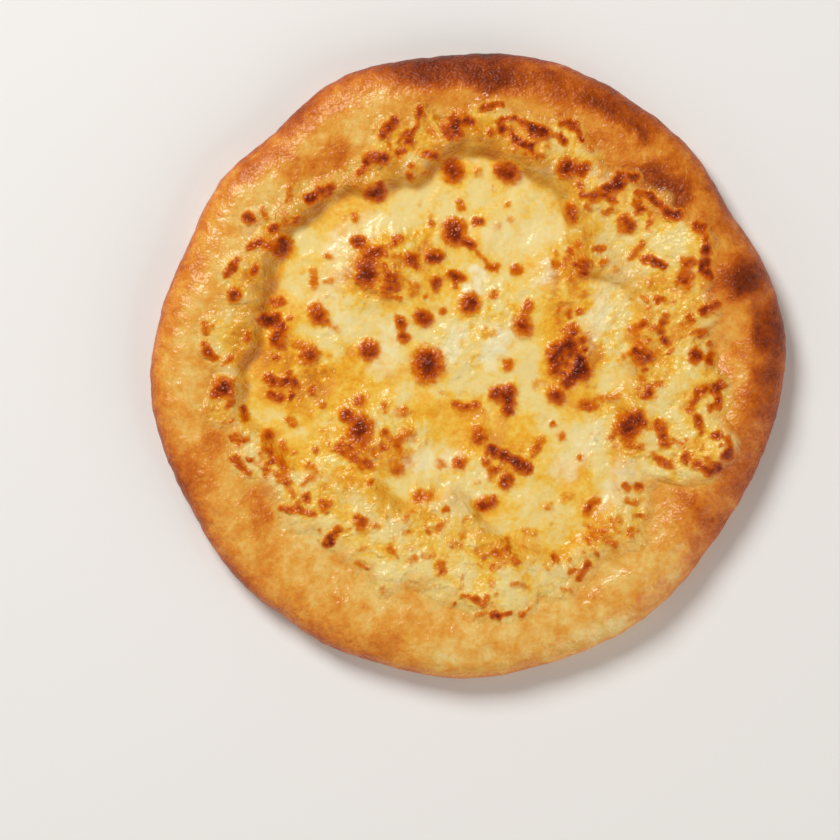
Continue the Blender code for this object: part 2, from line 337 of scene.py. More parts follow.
CRUST_PATCHES = [
    (121, 38, 1, 1, 6.5, 1.0), (111, 37, 2, 0, 3, 0.56), (135, 18, 1, 6, 6, 0.85), (129, 21, 1, 2, 3, 0.76),
    (132, 4, 2, 8, 4, 0.74), (124, 8, 2, 1, 3, 0.56), (133, -10, 0, 6, 4, 0.7), (122, -22, 2, 5, 6, 0.6),
    (67, 111, 10, -5, 4.5, 0.84), (48, 125, 8, -2, 6, 0.6), (46, 117, 4, 0, 4, 0.6),
    (-4, 130, 13, -1, 3.0, 0.86), (8, 126, 4, -2, 4, 0.78), (-24, 128, 8, 1, 3.5, 0.6),
    (26, 124, 10, -2, 5, 0.6), (13, 127, 4, -1, 3, 0.72), (87, 79, 5, -4, 5, 0.84), (73, 83, 1, 0, 3, 0.78),
    (61, 95, 3, 0, 4, 0.55), (87, 87, 3, 1, 4, 0.58), (75, 97, 3, 0, 5, 0.52), (-70, 86, 5, 0.5, 3.0, 0.6),
    (-57, 93, 1, 1, 3, 0.66), (-92, 91, 4, 3, 2, 0.5), (-104, 80, 2, 2, 2, 0.52), (-80, 93, 4, 2, 3, 0.48),
    (-120, 44, 2, 6, 6, 0.44), (-128, 15, 1, 4, 5, 0.45), (-111, 26, 2, 2, 3, 0.44),
    (-106, 19, 0, 2, 3, 0.46), (-118, -44, 4, 6, 8, 0.56), (-131, -36, 0, 5, 4, 0.52),
    (-119, -58, 2, 4, 5, 0.5), (-91, -58, 1, 2, 4, 0.6), (-93, -70, 1, 1, 4, 0.6),
    (-86, -81, 2, 1, 3, 0.48), (-95, -90, 5, 2, 5, 0.5), (-56, -86, 5, 1, 5, 0.46),
    (-60, -108, 12, -4, 8, 0.48), (-34, -122, 2, 1, 6, 0.6), (-22, -127, 2, 1, 4, 0.46),
    (-20, -111, 0, 4, 3, 0.44), (28, -121, 8, 2, 6, 0.44), (60, -106, 5, 2, 6, 0.47),
    (80, -100, 3, 3, 5, 0.54), (98, -84, 2, 4, 4, 0.52), (98, -71, 2, 2, 3, 0.56), (88, -59, 3, 3, 5, 0.48),
    (94, -64, 2, 3, 3, 0.5), (103, -63, 1, 0, 2, 0.55), (110, -54, 5, 8, 8, 0.55),
    (120, -42, 4, 8, 7, 0.56), (105, -74, 3, 4, 5, 0.54),
]


def uneven(x, y, reach, seed, period=6.0):
    """The same points, each shifted a little, so that what is drawn round them gets a ragged edge."""
    small = 0.4 * period
    shift_x = reach * wave(x, y, period, seed) + 0.25 * reach * wave(x, y, small, seed + 1.0)
    shift_y = reach * wave(x, y, period, seed + 2.0) + 0.25 * reach * wave(x, y, small, seed + 3.0)
    return x + shift_x, y + shift_y


def browned(x, y, marks, halo, base=0.0):
    """Browning at each point: each mark's own in its middle, falling to the base outside its halo."""
    left = np.ones_like(x)
    for *line, radius, depth in marks:
        away = distance(x, y, *line)
        share = smooth((radius + halo - away) / (0.5 * radius + 1.2 * halo))
        left *= 1.0 - np.maximum(0.0, depth - base) / (1.0 - base) * share
    return 1.0 - left


def browning_of_crust(x, y):
    """How browned the crust is at each point."""
    angle, radius = polar(x, y)
    inset = outline(angle) - radius
    rim_share = smooth((RIM_BROWNING_WIDTH + waves(x, y, RIM_RAGGEDNESS) - inset) / 16.0)
    level = lobed(angle, RING_BROWNING, RING_BROWNING_LOBES)
    level += (lobed(angle, RIM_BROWNING, RIM_BROWNING_LOBES) - level) * rim_share
    level += EDGE_BROWNING * np.exp(-np.maximum(inset, 0.0) / EDGE_BROWNING_REACH)
    level += waves(x, y, BROWNING_CLOUDS)
    patches = browned(*uneven(x, y, 4.0, 34.0, 9.0), CRUST_PATCHES, 7.0, base=PATCH_BASE)
    return level + (PATCH_BROWNING - level) * patches


paint(bread, "browning", browning_of_crust(x, y))
paint(bread, "underside", smooth((WAIST_HEIGHT - 1.0 - plain_z) / 7.0) * ~upper)


def colour(code):
    """An sRGB hex colour, such as e3a049, as the linear colour a shader takes."""
    channels = [int(code[start:start + 2], 16) / 255.0 for start in (0, 2, 4)]
    linear = [c / 12.92 if c <= 0.04045 else ((c + 0.055) / 1.055) ** 2.4 for c in channels]
    return (*linear, 1.0)


def add(tree, kind, sockets=None, stops=(), **settings):
    """One node: its settings, its sockets' values or links, and a colour ramp's stops. A node that is
    given as a value is linked by its first output."""
    node = tree.nodes.new("ShaderNode" + kind)
    for name, value in settings.items():
        setattr(node, name, value)
    for name, value in (sockets or {}).items():
        value = value.outputs[0] if isinstance(value, bpy.types.Node) else value
        if isinstance(value, bpy.types.NodeSocket):
            tree.links.new(value, node.inputs[name])
        else:
            node.inputs[name].default_value = value
    for number, (position, code) in enumerate(stops):
        elements = node.color_ramp.elements
        element = elements[number] if number < 2 else elements.new(position)
        element.position = position
        element.color = colour(code)
    return node


def pattern(tree, place, size, detail, **sockets):
    """A cloudy pattern between 0 and 1, its clouds this many millimetres apart."""
    return add(tree, "TexNoise", {"Vector": place, "Scale": 1.0 / (size * MM), "Detail": detail, **sockets})


def times_plus(tree, value, factor, other):
    """A value times a factor, plus another value."""
    return add(tree, "Math", {0: value, 1: factor, 2: other}, operation="MULTIPLY_ADD")


def span(tree, value, low, high, first, last):
    """A value's range from low to high, turned into one from first to last."""
    return add(tree, "MapRange", {
        "Value": value, "From Min": low, "From Max": high, "To Min": first, "To Max": last})


def mixed(tree, share, first, second):
    """Two colours mixed, by the share of the second."""
    return add(tree, "Mix", {0: share, 6: first, 7: second}, data_type="RGBA").outputs[2]


def crust_colour(tree, place, browning):
    """The colour of baked dough, with its freckles: cream, gold, orange-brown, then dark brown."""
    freckle_size = 2.0    # millimetres between the small freckles of the crust
    mottle_size = 8.0     # and between its larger cloudy patches
    freckles = pattern(tree, place, freckle_size, 4.0, Roughness=0.62)
    mottle = pattern(tree, place, mottle_size, 3.0, Distortion=0.5)
    freckled = times_plus(tree, freckles, 0.34, browning)
    mottled = times_plus(tree, mottle, 0.42, freckled)
    level = add(tree, "Math", {0: mottled, 1: 0.38}, operation="SUBTRACT")
    return freckles, add(tree, "ValToRGB", {"Fac": level}, stops=[
        (0.0, "f6dc94"), (1.0, "541602"), (0.14, "f2c66c"), (0.26, "eda944"), (0.38, "e38d2c"),
        (0.5, "d26f18"), (0.62, "b8540b"), (0.8, "8f3704"),
    ])


def new_material(name):
    """An empty material with its nodes, and the place on the piece that its patterns lie by."""
    material = bpy.data.materials.new(name)
    material.use_nodes = True
    tree = material.node_tree
    tree.nodes.clear()
    return material, tree, add(tree, "TexCoord").outputs["Object"]


def baked_dough():
    """Baked wheat dough, brushed with fat: it goes from cream through gold to dark brown as it browns,
    has freckles and fine blisters, and a soft gloss. Its underside is paler, floury and freckled."""
    material, tree, place = new_material("baked_dough")
    browning = add(tree, "Attribute", attribute_name="browning").outputs["Fac"]
    underside = add(tree, "Attribute", attribute_name="underside").outputs["Fac"]
    freckles, crust = crust_colour(tree, place, browning)

    scorch_size = 16.0    # millimetres between the scorched places where the foot met the stone
    scorch = pattern(tree, place, scorch_size, 5.0, Roughness=0.65)
    stone_baked = add(tree, "ValToRGB", {"Fac": scorch}, stops=[
        (0.0, "efd9a8"), (1.0, "5b2a10"), (0.42, "e2b878"), (0.55, "c98a48"), (0.66, "98561f")])
    base = mixed(tree, underside, crust, stone_baked)

    blister_size = 1.2    # millimetres between the finest blisters of the skin
    pucker_size = 4.0     # and between its puckers
    blisters = pattern(tree, place, blister_size, 0.5)
    puckers = pattern(tree, place, pucker_size, 0.5)
    # The most browned crust is the most blistered, and the driest: it shines the least.
    dryness = times_plus(tree, freckles, 0.4, browning)
    crispness = span(tree, dryness, 0.45, 0.9, 0.9, 3.0)
    crisp = add(tree, "Math", {0: blisters, 1: crispness}, operation="MULTIPLY")
    skin = add(tree, "Bump", {"Height": crisp, "Distance": 0.28 * MM})
    dimpled = add(tree, "Bump", {"Height": puckers, "Distance": 0.65 * MM, "Normal": skin})
    rough = span(tree, dryness, 0.3, 1.0, 0.22, 0.36)
    gloss = span(tree, dryness, 0.4, 0.8, 0.65, 0.32)
    surface = add(tree, "BsdfPrincipled", {
        "Base Color": base, "Roughness": rough, "Normal": dimpled,
        "IOR": 1.38, "Specular IOR Level": gloss, "Subsurface Weight": 0.15,
        "Subsurface Scale": 1.8 * MM, "Subsurface Radius": (1.0, 0.45, 0.12),
    })
    add(tree, "OutputMaterial", {"Surface": surface})
    return material


bread.data.materials.append(baked_dough())
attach(bread, "root")
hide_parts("bread")

# --------------------------------------
# The melted cheese: grated fresh cheese strewn over the dough and melted in the oven. It has run
# together into a smooth pale pool in the sunken middle, lies thin and curdled on the ring round it,
# and has blistered and scorched wherever it stood up into the heat.
# --------------------------------------

CELLS = SPOKES // 4       # cells along each side of the square that is pressed round
EDGE_THICKNESS = 0.0
SHELF_THICKNESS = 1.6     # on the ring
POOL_THICKNESS = 3.0      # in the sunken middle
EDGE_TAPER = 14.0         # how far in from its edge it is thinner
SEAT_GAP = 0.15           # between its underside and the dough
SUNKEN_EDGE = 0.5         # how far the thin edge has sunk into the dough
EDGE_ROUND_SPOTS = 3.2    # how far the edge stays outside a scorched spot
LAYERS = 3                # steps in which the border is drawn down
LAYER_STEP = 0.2          # their real height
TOP_INSET = 0.6           # how far the topmost layer stands in from the edge
SIDE_BULGE = 0.15         # and the ones below it stand out
HIDDEN_SHARE = 0.97       # of the radius, where the underside leaves the border

# Unevenness in layers of (period, height, seed).
EDGE_RAGGEDNESS = [(0.05, 1.08, 41.0), (0.02, 0.6, 42.0)]      # for a circle of radius 1
CHEESE_WAVES = [(9.0, 0.35, 11.0)]
SPOT_PLUMPNESS = [(4.0, 0.35, 87.0)]
SPOT_RAGGEDNESS = [(3.2, 0.3, 49.0), (1.8, 0.24, 50.0)]
STEP_RAGGEDNESS = [(10.0, 3.0, 71.0)]
# Breaks in the painted shade along the step.
STEP_SHADE_BREAKS = [(7.0, 0.8, 72.0)]
CLOUDS = [(21.0, 0.6, 73.0), (8.0, 0.4, 74.0)]
CURD_RIDGES = [(7.0, 1.0, 61.0)]
CURD_LUMPS = [(4.0, 0.6, 62.0), (2.0, 0.42, 65.0), (13.0, 1.2, 67.0)]
LUMP_TINTS = [(5.5, 0.55, 83.0), (2.6, 0.4, 84.0)]
POOL_SWELLS = [(14.0, 0.9, 63.0), (5.0, 0.25, 66.0)]
TOASTED_SKIN = [(2.2, 0.55, 64.0)]
THIN_RAGGEDNESS = [(6.0, 5.0, 77.0)]
MILK_AND_SHEEN_FLECKS = [(3.0, 0.8, 85.0)]

# Scorched spots: (x, y, half its run in x and in y, radius, browning in percent).
SCORCHED_SPOTS = [
    # in the sunken middle
    (-44.8, 40.5, 0.3, 1.8, 4.6, 95), (-41.5, 49.5, 2.0, 0.3, 2.8, 80), (-48, 54, 0, 0.5, 2.4, 80),
    (-34.7, 36.5, 0, 1.5, 2.8, 76), (-25.1, 46.5, 0.5, 0, 2.8, 92), (-15.3, 48, 1.5, 0, 2.6, 100),
    (-31, 55.5, 1, 0, 1.8, 66), (-23.6, 34, 0.3, 0, 2.3, 48), (-14.2, 35.5, 0, 1.6, 1.8, 74),
    (-5.6, 39.5, 2, -0.5, 1.9, 90), (0.5, 27.4, 0.3, 0.5, 4.0, 100), (-6, 36.5, 0, 2, 0.9, 70),
    (-20, 21, 0.5, -0.5, 3.3, 100), (-30, 19, 0, 0.5, 2.2, 96), (-28.7, 12.5, 0.3, -0.3, 2.2, 84),
    (-11, 24, 0, 0, 1.4, 85), (-43.8, 6.8, 0.3, 0, 4.2, 92), (-18, 0.6, 0, 0.8, 6.6, 97),
    (23.8, 17.5, -0.3, 0.7, 4.2, 80), (26.2, 26, 0.3, 0.8, 2.1, 80), (-39.6, -38, 10, -3, 6.0, 24),
    (-27.2, -30.2, 1, 0, 2.6, 42), (10.5, 43, 1.0, 0, 2.0, 75), (21, 42, 0, 0.5, 2.2, 76),
    (11, 31, 0.3, 0.3, 1.7, 64), (17.5, 0, 0, 0.5, 2.2, 58), (-16.6, 62.6, 0, 0, 1.4, 75),
    (-17, 66.5, 0, 0.6, 1.2, 24), (10, 14, 0, 0, 1.2, 26), (-36, -4, 0, 0, 1.4, 8),
    (15, -12, 2.6, 0.5, 3.2, 100), (17.5, -18, 0.3, 1.5, 2.6, 100), (38.5, -13.5, 0.6, -0.5, 3.2, 93),
    (41, 8, 2, 1, 3.0, 93), (38, 0, 0, 2, 2.8, 90), (45, 13, 0.5, 2, 2.6, 68), (48, 4, 1.5, -2, 2.4, 100),
    (50, -2, 0.5, -1, 3.2, 100), (45.5, -5, 2.2, 2.2, 2.8, 100), (42.5, 1.5, 0.5, 0.5, 1.6, 45),
    (-4.5, -17.5, 1.5, -0.5, 1.9, 72), (1.5, -18, 1, 0.5, 1.9, 72), (5, -30, 0.5, -0.5, 3.0, 60),
    (12, -37.5, 2.5, -1, 2.0, 76), (18, -41, 2, -0.8, 1.9, 100), (24, -44.5, 1.5, -0.6, 2.7, 100),
    (31, -34, 0.5, 0.5, 2.4, 52), (29, -38, -1, -1.5, 1.3, 52), (37, -26, 0, 0, 1.4, 60),
    (41, -31, 0, 0.8, 1.6, 52), (-4, -43, 0, 0, 2.7, 76), (-12, -43.5, 0.5, 0, 2.2, 44),
    (16.5, -51, 0.5, 0.5, 2.8, 88), (10, -48, -0.5, -1, 1.6, 48), (-6.3, 58.8, 0, 0.8, 5.0, 100),
    (0.5, 53.2, 0.8, -0.6, 1.9, 96), (6, 47.5, 2, -2, 0.9, 56), (4.5, 63.5, 0.5, 0, 1.8, 95),
    (-3.5, 70.5, -0.5, 1.2, 1.5, 60), (-50.2, 65.5, 0, 0, 2.0, 56), (18.5, 64, 0.4, -0.4, 1.1, 40),
    (17.5, 71.5, 0, 0, 1.1, 44), (50.5, 43, 0, 1.8, 2.6, 88), (57, 51.5, 1.5, 0, 1.4, 68),
    (45, 67, -0.5, 2, 2.6, 80), (-48, -15.7, 0.2, 0.4, 2.1, 74), (-54.1, -21.9, 0, 0.6, 2.6, 92),
    (-47.5, -27.7, 0.4, 1.2, 4.6, 100), (-55.4, -36.8, 1, -0.5, 2.3, 70), (-47, -42.6, 4.5, -2.2, 1.6, 44),
    (-31.7, -46.4, 0.8, 0, 2.4, 44), (-31.3, -34, 0, 0.8, 1.9, 52), (-29.4, -20.3, 0.6, 0, 2.6, 52),
    (-37, -18.5, 0, 1, 1.8, 48), (-41.5, -52, 0.5, 0, 1.8, 20), (52, -17.5, 1.5, -0.3, 2.2, 80),
    (61, -14, 4, 0.3, 1.8, 42), (49, -40.5, 0, 0, 1.3, 52), (43.5, -57.5, 1, 0, 2.0, 36),
    (35, -62, 0.8, 0, 1.7, 40), (27, -73.5, 2, -1, 1.8, 36), (4, 85, 0, 0.5, 1.4, 48),
    (-62, 48, 0, 0, 1.5, 56), (-68, 38, 0, 3, 1.6, 56), (-62, 37, 1.5, 0, 1.1, 48),
    # on the left
    (-66.5, 22.5, 0.5, -1, 3.6, 84), (-60, 17.5, 2, -1.5, 1.6, 36), (-82, 52, 0.5, 0.5, 4.2, 100),
    (-85.5, 60, 0, 0, 2.0, 100), (-96.5, 64.5, 0.5, -0.5, 2.6, 100), (-66, 75, 4.5, 1.8, 2.1, 92),
    (-79, 75, -0.5, -2.5, 1.5, 62), (-90, 67, 0.5, -1.5, 1.5, 60), (-75.5, 64, 0, 0.5, 1.5, 80),
    (-94, 53, 2.5, 1.2, 1.5, 100), (-104, 43, 2.5, 3.5, 1.5, 76), (-94.5, 41, 0, 0, 1.7, 100),
    (-103, 31, 0, 0, 3.1, 97), (-84.5, 28, 1.2, 0, 2.1, 76), (-88, 20.5, 2, 0, 2.8, 100),
    (-83.5, 13.5, 0.5, 2.5, 3.4, 68), (-75, 9, 1.5, 0, 1.7, 44), (-70, 4.5, 0.5, 0.5, 3.8, 84),
    (-97, 12.5, 0, 1, 1.5, 70), (-115.8, 16.5, 0.3, -2, 1.7, 64), (-115.8, 8, 0, 1, 2.0, 60),
    (-113, 4, 1.2, -0.8, 1.9, 80), (-104.5, 3, 0, 0, 1.7, 66), (-108, -9.5, 0.5, 0.3, 4.0, 100),
    (-111.5, -13, 1, 0, 1.6, 62), (-114, -20, 1.5, 1, 1.6, 46), (-107.5, -25, 0, 0, 1.4, 44),
    (-88, -5.5, 0.5, 0, 2.1, 72), (-83.5, -8, 2, -0.5, 1.9, 76), (-78, -6.2, 0, 0.5, 2.1, 40),
    (-75, -9, 1, -0.3, 1.4, 32), (-85, -13.5, 2.2, -0.8, 1.7, 88), (-69, -10.8, 0.3, 1, 1.6, 66),
    (-64, -17.5, 0.5, 0, 1.4, 56), (-98.6, -21, 0.3, -2, 1.5, 88), (-78, -24.5, 0.8, -0.8, 1.8, 60),
    (-88, -30.5, 0, 0, 2.6, 84), (-104, -32, 0, 0, 1.9, 72), (-98, -32, 0, 0.3, 1.2, 75),
    (-102, -42, 0.8, -1, 2.1, 76), (-97.5, -46.5, 1.5, -1.5, 1.2, 70), (-79, -37.5, 1, 0, 1.6, 16),
    (-67, -37, 0, 0, 1.6, 72), (-70.5, -44, 0, 0.5, 1.7, 44), (-80.5, -48.5, 0.2, -3, 1.5, 56),
    (-79.5, -52, 0.5, 0, 1.8, 16), (-90, -47, 2.5, 0, 1.2, 8), (-75, -64, 7, -1.2, 1.3, 68),
    (-73, -58, 2, -1.5, 1.7, 20), (-65, -61.5, 0.5, -0.3, 1.9, 16), (-60, -75, 2.5, 3, 1.9, 76),
    (-47.5, -69, -0.5, 1.5, 2.4, 60), (-41, -70.5, 1, 0, 1.6, 40), (-46, -80, 0.5, 0, 1.6, 28),
    (-47, -88, 2.2, -1.6, 1.1, 52), (-34, -81, 0.5, -0.5, 1.6, 60), (-38, -99, 0.3, 0.5, 1.6, 40),
    (-15.5, -71.5, 2, 1.3, 1.5, 20), (-20, -57.5, 2.5, 0.5, 2.6, 56), (-12, -88.5, 0.3, -1, 2.4, 60),
    (-16.5, -97.5, 3, 0.3, 0.9, 28),
    # along the top
    (-35, 104.5, 2.5, 3, 2.1, 100), (-26.5, 101, 0.3, 0.5, 2.3, 92), (-21.5, 111.5, 0, 1, 2.0, 95),
    (-23, 105, -0.8, -2, 1.1, 56), (-40.5, 91, 3, -0.4, 2.6, 90), (-30, 94, 1, 0.7, 1.8, 90),
    (-48, 84.5, 0.5, 0, 1.3, 64), (-16, 92, 1.5, -0.3, 1.7, 85), (-7, 86, 0.5, -1, 4.4, 97),
    (-6, 103, -0.5, 1.5, 2.9, 92), (-4, 109.5, 2, -0.3, 2.2, 48), (0, 107, 0.5, 0, 1.8, 100),
    (10, 113.8, 4, 1, 1.6, 84), (14.3, 105, 0.6, -0.6, 1.6, 84), (17.5, 108.4, 2.5, 0.2, 1.0, 84),
    (25, 106, 3, -1.8, 1.2, 84), (31.5, 102.5, 1.5, -0.7, 2.9, 100), (24, 97, 3, -1.4, 1.9, 100),
    (19.5, 100.5, 1, -1, 0.8, 66), (10, 102, 0.3, 0.3, 1.3, 75), (44, 106, 2.2, -0.5, 2.2, 84),
    (49, 100.5, 0.5, -1.5, 1.2, 100), (41, 99, 0.5, -0.8, 1.3, 100), (43, 86.5, 0.5, 0.5, 4.1, 100),
    (50.5, 86, 1, 1, 2.3, 86), (30, 92, 1.3, 0.2, 1.3, 60), (17, 85, 1.5, -0.7, 4.2, 93),
    (-41, 76, 1, 0, 3.9, 100), (60, 76.5, 5, 2.5, 2.3, 68), (66, 81.5, 0.8, 1.5, 3.0, 90),
    (54.5, 74, 1.5, 1.8, 1.8, 20), (77, 75.5, 3, -0.3, 1.3, 84), (84, 70.5, 4, -3.2, 1.3, 88),
    (90.5, 66, 1.5, 0.3, 2.4, 100), (69.5, 62.5, 1, -1, 2.8, 92), (64, 72.5, 0.6, -0.4, 1.3, 52),
    (76, 69, 1.5, 0, 1.0, 60), (62, 67.5, 0.5, 0.3, 1.1, 36), (101, 61, 1, -0.3, 2.3, 100),
    (104.5, 53, 0.8, -3.5, 1.4, 72), (52.5, 94.5, 2, -1.2, 1.0, 24), (53, 57, 0.5, 0, 1.3, 32),
    (72.5, 83, 0.5, 0.3, 2.2, 100),
    # on the right
    (78, 47, 0.8, 0.6, 1.6, 98), (74, 50.5, 2.5, 3, 1.3, 64), (83.5, 44.5, 1.5, -0.8, 1.6, 100),
    (95.5, 46, 1.5, 0, 1.8, 56), (103.5, 43, 0.2, 2, 1.5, 100), (105.5, 40, 0.3, -1, 1.2, 95),
    (94.5, 37, 1.5, -2, 2.3, 52), (105.5, 25.5, 2.5, 1.3, 2.0, 94), (86, 20.5, 0.2, 1.2, 1.8, 56),
    (95.5, 20, 1.3, 1, 1.4, 32), (82.5, 28.5, 0.2, -0.8, 1.0, 85), (77, 30, 0.8, -0.8, 1.1, 46),
    (80, 36, 0, 1, 0.9, 46), (73, 16, 0.8, 0.8, 2.1, 58), (86.5, 10.5, 1, -1.2, 1.1, 88),
    (92, 13, 2.5, 0, 1.2, 28), (102.5, 14.5, 1.3, 0.3, 1.9, 48), (75.5, 4, 0.5, -1.2, 3.4, 84),
    (99.5, 4, 0, 1, 2.3, 90), (106, 3.5, 0.2, 1.5, 1.6, 96), (105.5, 9.5, 0, 0.8, 0.8, 80),
    (79.5, -11.5, 0.3, 1.2, 2.5, 64), (98.5, -15.5, 1.8, 4, 1.4, 72), (102.5, -9.2, 1.2, 0.6, 1.4, 28),
    (107, -10.5, 2, 0, 1.3, 48), (111, -8, 1.2, -1, 1.4, 66), (109.5, -14.5, 0.6, -4, 1.4, 74),
    (101, -26, 1, -3, 1.2, 60), (71, -25.5, 1.5, 1, 4.8, 97), (70, -33, 0.5, -1.5, 2.2, 64),
    (85, -30, 1.3, -3.6, 2.4, 80), (92, -34, 1.2, -1, 1.0, 36), (86, -43, 1.8, -0.9, 1.8, 76),
    (95, -41.5, 0.5, -0.8, 1.2, 76), (101, -44, 1.6, -1.2, 1.6, 80), (107, -46, 1.5, 0.8, 2.0, 97),
    (114, -36, 0.7, -3.5, 1.5, 80), (109, -30.5, 0.8, 0.3, 1.4, 100), (113, -40.5, 0.6, -0.4, 1.7, 100),
    # along the bottom
    (8, -60.5, 2.3, 0.8, 2.7, 88), (13, -85, -0.5, 2.5, 1.9, 32), (17.5, -84.5, 1, 0.8, 1.7, 28),
    (15.5, -77, 1.5, 0.8, 1.1, 44), (13.5, -89, 1, 0, 1.1, 8), (4, -81, 0.6, 0.6, 1.6, 36),
    (37.5, -83, 0.5, -0.5, 1.7, 40), (21, -96, 2.2, 0.3, 1.0, 40), (25.5, -97.5, 0.8, -0.8, 1.1, 36),
    (10, -96, 0, 0.4, 1.2, 44), (-3, -95, -0.3, -3, 0.8, 36), (0, -101.5, 3, -0.4, 1.0, 60),
    (5, -104, 1.5, -1, 1.1, 72), (7.5, -102, 0.2, 0.8, 1.0, 60), (5, -109, 1.6, 0.3, 1.1, 52),
    (11, -109.3, 0.8, 0.2, 1.7, 100), (16, -109.5, 2.2, 0.5, 0.9, 80), (23.5, -109, 0.6, 0.2, 1.3, 78),
    (27, -107, 0.3, 0.3, 0.8, 62), (43, -98.5, 1.5, -0.3, 1.3, 56), (50, -91, 1.6, 2.6, 1.4, 76),
    (54.5, -60.5, 1, 0.5, 2.0, 72), (52, -64, -0.4, -0.5, 1.6, 60), (74.5, -54, 0.6, -0.6, 1.9, 48),
    (80, -52, 0, 1, 0.8, 36), (71, -60, 1.6, -0.6, 1.3, 56), (77, -66, 1.6, 0.2, 1.3, 44),
    (71, -74, 0.5, -0.5, 1.7, 52), (64.5, -72, 1, -0.8, 1.0, 36), (58.5, -72, 1.4, 0, 1.2, 36),
    (53.5, -76, 1, 0, 1.2, 8), (55.5, -81, 0.6, -0.8, 1.3, 32), (64, -80, 0.1, -1.2, 1.4, 36),
    (50, -82, 0.2, 0, 0.8, 50), (76, -79, 0.3, 0.3, 0.8, 40),
]
SCORCHES = [(*line, percent / 100.0) for *line, percent in SCORCHED_SPOTS]
HALO_LEAST = 0.6          # how far the orange rim round a scorched spot reaches
HALO_SHARE = 0.55         # and what share of its radius is added to that
HALO_SLOPE = 0.8          # what share of its radius takes part in the rim's slope
HALO_FULLNESS = 0.75      # less than 1 makes the slope fuller
MEAN_PLUMPNESS = 1.05
RIM_OF_SCORCH = 0.6
CORE_OF_SCORCH = 0.26
CORE_REACH = 8.0          # the widest spots are the darkest in their middle
DOME_LEAST = 2.6          # scorched spots at least this wide in radius have blown up into a blister
DOME_HEIGHT = 0.9

# Zones that have toasted all over, in specks: (x, y, half its run in x and in y, radius, browning).
TOASTED_ZONES = [
    (-41, -36, 6, -2, 12, 0.42), (-30, 40, 6, 2, 15, 0.42), (-83, 12, 2, 6, 8, 0.62),
    (-80, -9, 6, -1, 6, 0.6), (-80, -45, 10, -6, 9, 0.42), (-68, -60, 6, -3, 6, 0.42),
    (78, 10, 4, 6, 10, 0.42), (101, 46, 2, 6, 7, 0.66), (100, 18, 4, 6, 7, 0.42), (104, -16, 3, 6, 7, 0.46),
    (104, -40, 5, 2, 7, 0.48), (22, 101, 12, -2, 8, 0.5), (-4, 106, 4, 2, 7, 0.48), (62, 74, 9, 2, 8, 0.5),
    (79, 67, 5, -3, 5, 0.5), (45, 24, 4, 10, 7, 0.48), (14, -84, 6, 0, 8, 0.42), (60, -74, 10, 3, 6, 0.34),
    (8, -38, 6, -3, 7, 0.5), (-60, -75, 6, 4, 5, 0.4), (45, 2, 4, 5, 9, 0.6), (-44, 52, 8, 2, 6, 0.35),
    (70, -30, 1, 4, 7, 0.5), (-14, -74, 10, 4, 9, 0.34), (40, 45, 10, 6, 7, 0.42),
]
# Where fat has gathered and turned the cheese yellow, and, at (52, 50) and (73, 50), painted shade in the
# hollow on the right: (x, y, half its run in x and in y, radius, strength).
GOLDEN_ZONES = [
    (-70, -6, 18, -6, 14, 0.9), (-58, -38, 14, -12, 14, 0.35), (-88, -38, 6, -12, 10, 0.1),
    (-20, -72, 34, -6, 12, 0.35), (30, -80, 18, 8, 12, 0.4), (62, -62, 8, 14, 10, 0.25),
    (42, 28, 4, 8, 9, 0.9), (87, 12, 6, 20, 10, 0.6), (104, -30, 5, 16, 8, 0.45), (-34, 41, 12, 2, 14, 0.7),
    (2, -28, 18, -4, 10, 0.7), (46, 0, 3, 8, 9, 0.6), (60, 78, 16, -2, 9, 0.7), (52, 50, 8, 4, 7, 0.4),
    (73, 50, 4, 4, 5, 0.7), (10, 100, 40, -2, 9, 0.7), (-44, 92, 12, 8, 8, 0.6), (-96, 34, 6, 22, 9, 0.6),
    (-44, -2, 6, -4, 8, 0.6), (60, -18, 8, 2, 8, 0.5), (-52, 66, 8, 2, 6, 0.5), (30, -40, 14, -10, 7, 0.6),
    (2, 8, 12, 10, 12, 0.2),
]
# Whiter places, given in the same way: partly where the fresh cheese lay thick, and partly a painted
# highlight where a slope faces the key lamp.
MILK_AND_SHEEN_PATCHES = [
    (3, 36, 2, 6, 3, 0.9), (58, 85, 4, 0, 3, 0.5), (-56, 19, 3, 1, 3, 0.5), (33, 40, 2, 3, 3, 0.6),
    (-8, 8, 3, 5, 4, 0.8), (12, 8, 3, 4, 5, 0.8), (57, 22, 2, 8, 4, 0.6), (64, -52, 4, 7, 4, 0.6),
    (-60, 40, 3, 10, 6, 0.4), (-50, 58, 8, 4, 6, 0.4), (22, 58, 10, 2, 8, 0.2), (48, -38, 6, 8, 6, 0.5),
    (-36, 8, 3, 8, 5, 0.5), (-16, -42, 10, 0, 4, 0.6), (-98, 60, 3, 8, 4, 0.4),
]
# Where shreds of cheese still stand out of the pool, given in the same way.
LUMPY_PLACES = [
    (2, 14, 10, 10, 12, 0.9), (60, 18, 4, 10, 12, 0.9), (-34, 44, 10, 6, 14, 0.8), (44, 40, 6, 8, 8, 0.7),
    (-44, -34, 12, 6, 14, 0.8), (60, -30, 4, 10, 8, 0.6), (10, -48, 12, 3, 8, 0.6), (-68, 0, 6, 8, 10, 0.7),
]
STEP_SHADE_INTO_POOL = 2.8    # how far the painted shade along the step reaches into the pool
STEP_SHADE_UP_STEP = 13.0     # and up the step
STEP_STRENGTH = 0.35      # how sharp the step is and how strong the painted shade along it, by the same kind of lobes
STEP_STRENGTH_LOBES = [(150, 40, 0.6), (84, 30, 0.5), (45, 14, 0.1), (208, 16, -0.35), (300, 40, -0.15)]
ZONE_SPECKS = 0.022       # small toasted specks for each square millimetre of a toasted zone
RING_SPECKS = 220         # and strewn over the ring between the sunken middle and the cheese's edge
POOL_SPECKS = 90          # and the fainter ones in the pool
SPECK_SEED = 8


